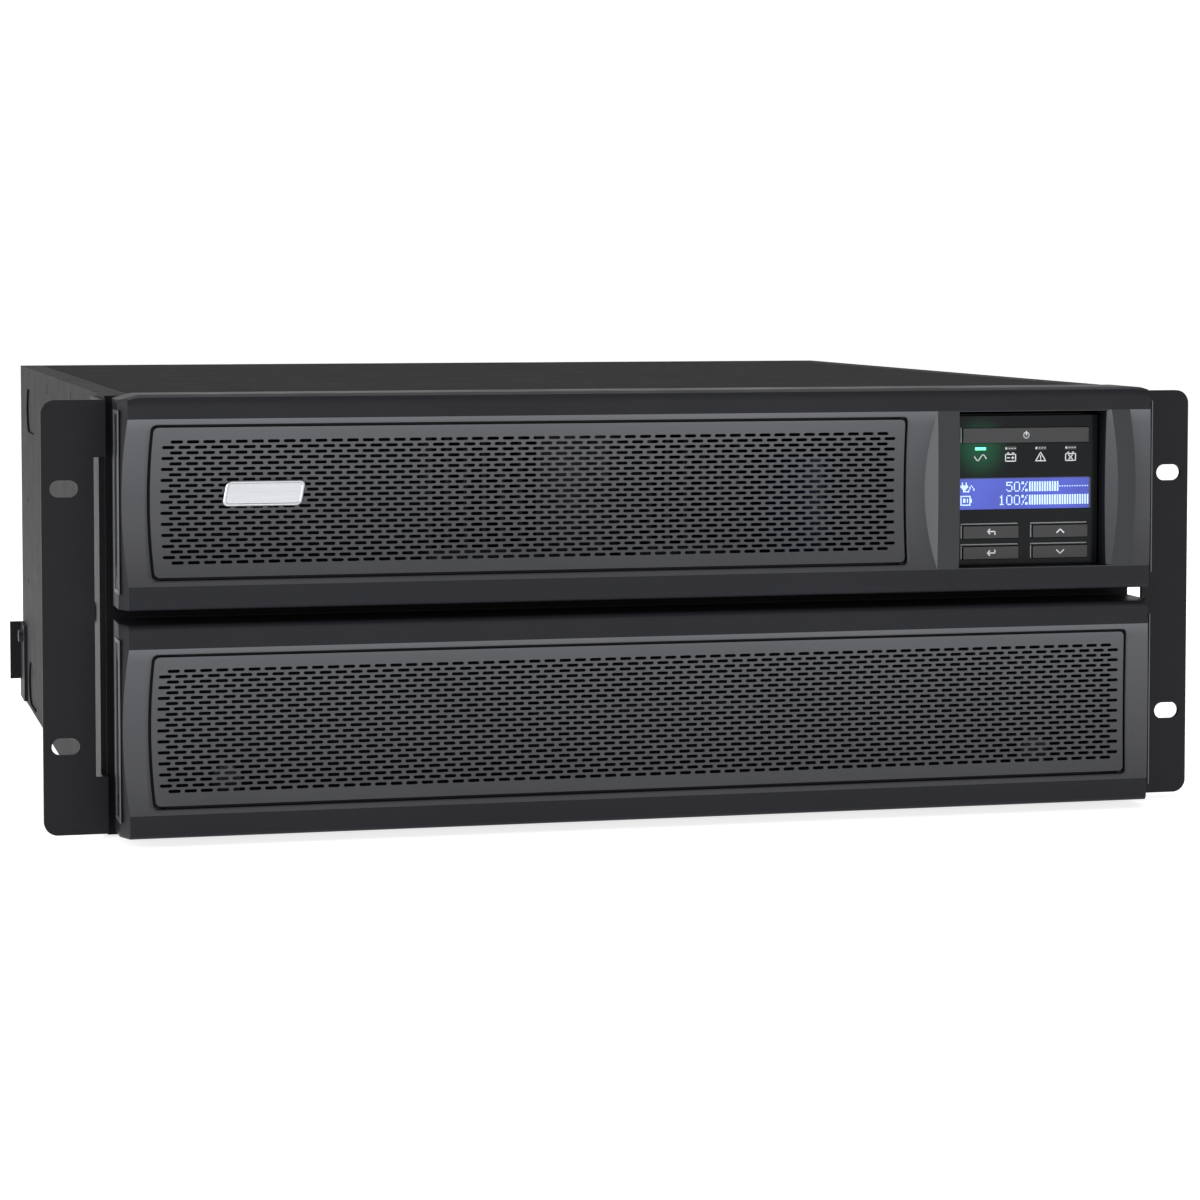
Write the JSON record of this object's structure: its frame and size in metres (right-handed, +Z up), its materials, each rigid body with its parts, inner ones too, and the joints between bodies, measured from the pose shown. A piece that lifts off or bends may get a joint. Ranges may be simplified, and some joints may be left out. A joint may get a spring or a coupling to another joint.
{
  "type": "rackmount ups",
  "caption": "Rack-mounted uninterruptible power supply with two grille bezels, tilting display, slotted ears, sliding battery drawer, rear fans and outlets.",
  "frame": {"origin": "middle of the footprint, at the height of the chassis bottom", "axes": "+X across the rack to the right as seen from the front, +Y back from the front, +Z up"},
  "size_m": [0.4826, 0.489, 0.1753],
  "materials": {
    "sheet_metal": "black textured powder coat on folded sheet steel",
    "ear_metal": "black powder coat on thick sheet steel",
    "bezel_plastic": "moulded charcoal plastic with a fine satin texture",
    "grille_metal": "perforated sheet with dark satin paint",
    "badge_metal": "blank brushed badge",
    "display_gloss": "glossy black display face",
    "display_shell": "matt black housing",
    "screen": "blue back-lit dot screen",
    "lamp": "clear status lamps, the first one lit green",
    "key_plastic": "dark satin-gloss keys",
    "zinc_steel": "zinc-plated sheet steel",
    "fastener": "plated screws",
    "battery_case": "dark grey battery cases",
    "lead_rubber": "insulated leads and plug",
    "connector": "black moulded connectors",
    "fan_plastic": "black fan mouldings",
    "board": "green circuit board",
    "heat_metal": "extruded aluminium",
    "core_steel": "stacked steel laminations",
    "copper": "varnished copper winding",
    "component": "sleeved components"
  },
  "bodies": {
    "chassis": {"base_pan": "sheet_metal", "top_cover": "sheet_metal", "divider_shelf": "sheet_metal", "bay_wall": "sheet_metal", "side_panel_left": "sheet_metal", "side_panel_right": "sheet_metal", "front_panel": "sheet_metal", "rear_panel": "sheet_metal", "display_cheeks": "sheet_metal", "rack_ear_left": "ear_metal", "rack_ear_right": "ear_metal", "rear_brackets": "ear_metal", "fan_guards": "zinc_steel", "outer_screws": "fastener", "battery_socket": "connector", "outlets": "connector", "mains_inlet": "connector", "breakers": "connector", "signal_jacks": "connector", "battery_link_socket": "connector", "card_rails": "connector", "fan_frame_left": "fan_plastic", "fan_frame_right": "fan_plastic", "main_board": "board", "heat_sinks": "heat_metal", "transformer_core": "core_steel", "transformer_coil": "copper", "capacitors": "component", "relays_and_chokes": "component"},
    "display": {"display_face": "display_gloss", "display_housing": "display_shell", "lcd_screen": "screen", "display_board": "board", "status_lamps": "lamp"},
    "power_key": {"power_button": "key_plastic"},
    "back_key": {"back_button": "key_plastic"},
    "up_key": {"up_button": "key_plastic"},
    "enter_key": {"enter_button": "key_plastic"},
    "down_key": {"down_button": "key_plastic"},
    "upper_cover": {"upper_bezel": "bezel_plastic", "upper_grille": "grille_metal", "upper_bezel_studs": "bezel_plastic", "badge": "badge_metal"},
    "drawer": {"drawer_tray": "zinc_steel", "drawer_front": "sheet_metal", "drawer_handle": "connector", "battery_blocks": "battery_case", "battery_strap": "zinc_steel", "battery_lead": "lead_rubber"},
    "lower_cover": {"lower_bezel": "bezel_plastic", "lower_grille": "grille_metal", "lower_bezel_studs": "bezel_plastic"},
    "screw_left": {"drawer_screw_left": "fastener"},
    "screw_right": {"drawer_screw_right": "fastener"},
    "rotor_left": {"fan_rotor_left": "fan_plastic"},
    "rotor_right": {"fan_rotor_right": "fan_plastic"},
    "reset_lower": {"breaker_button_lower": "connector"},
    "reset_upper": {"breaker_button_upper": "connector"},
    "card": {"card_face": "sheet_metal", "network_card": "board"}
  },
  "joints": [
    {"name": "display_tilt", "type": "hinge", "parent": "chassis", "child": "display", "pos_m": [0.1595, -0.2305, 0.161], "axis": [-1, 0, 0], "range_deg": [0, 20]},
    {"name": "power_press", "type": "slide", "parent": "display", "child": "power_key", "axis": [0, 1, 0], "range_m": [0, 0.0012], "stiffness_N_per_m": 300, "springref_m": -0.001},
    {"name": "back_press", "type": "slide", "parent": "display", "child": "back_key", "axis": [0, 1, 0], "range_m": [0, 0.0012], "stiffness_N_per_m": 300, "springref_m": -0.001},
    {"name": "up_press", "type": "slide", "parent": "display", "child": "up_key", "axis": [0, 1, 0], "range_m": [0, 0.0012], "stiffness_N_per_m": 300, "springref_m": -0.001},
    {"name": "enter_press", "type": "slide", "parent": "display", "child": "enter_key", "axis": [0, 1, 0], "range_m": [0, 0.0012], "stiffness_N_per_m": 300, "springref_m": -0.001},
    {"name": "down_press", "type": "slide", "parent": "display", "child": "down_key", "axis": [0, 1, 0], "range_m": [0, 0.0012], "stiffness_N_per_m": 300, "springref_m": -0.001},
    {"name": "upper_bezel_pull", "type": "slide", "parent": "chassis", "child": "upper_cover", "axis": [0, -1, 0], "range_m": [0, 0.035]},
    {"name": "battery_drawer", "type": "slide", "parent": "chassis", "child": "drawer", "axis": [0, -1, 0], "range_m": [0, 0.32]},
    {"name": "lower_bezel_pull", "type": "slide", "parent": "drawer", "child": "lower_cover", "axis": [0, -1, 0], "range_m": [0, 0.035]},
    {"name": "left_screw_turn", "type": "hinge", "parent": "drawer", "child": "screw_left", "pos_m": [-0.17, -0.21, 0.022], "axis": [0, 1, 0], "range_deg": [0, 720]},
    {"name": "right_screw_turn", "type": "hinge", "parent": "drawer", "child": "screw_right", "pos_m": [0.17, -0.21, 0.022], "axis": [0, 1, 0], "range_deg": [0, 720]},
    {"name": "left_fan_spin", "type": "hinge", "parent": "chassis", "child": "rotor_left", "pos_m": [-0.165, 0.225, 0.131], "axis": [0, 1, 0], "continuous": true},
    {"name": "right_fan_spin", "type": "hinge", "parent": "chassis", "child": "rotor_right", "pos_m": [-0.077, 0.225, 0.131], "axis": [0, 1, 0], "continuous": true},
    {"name": "lower_reset_press", "type": "slide", "parent": "chassis", "child": "reset_lower", "axis": [0, -1, 0], "range_m": [0, 0.002], "stiffness_N_per_m": 300, "springref_m": -0.001},
    {"name": "upper_reset_press", "type": "slide", "parent": "chassis", "child": "reset_upper", "axis": [0, -1, 0], "range_m": [0, 0.002], "stiffness_N_per_m": 300, "springref_m": -0.001},
    {"name": "card_slide", "type": "slide", "parent": "chassis", "child": "card", "axis": [0, 1, 0], "range_m": [0, 0.14]}
  ]
}
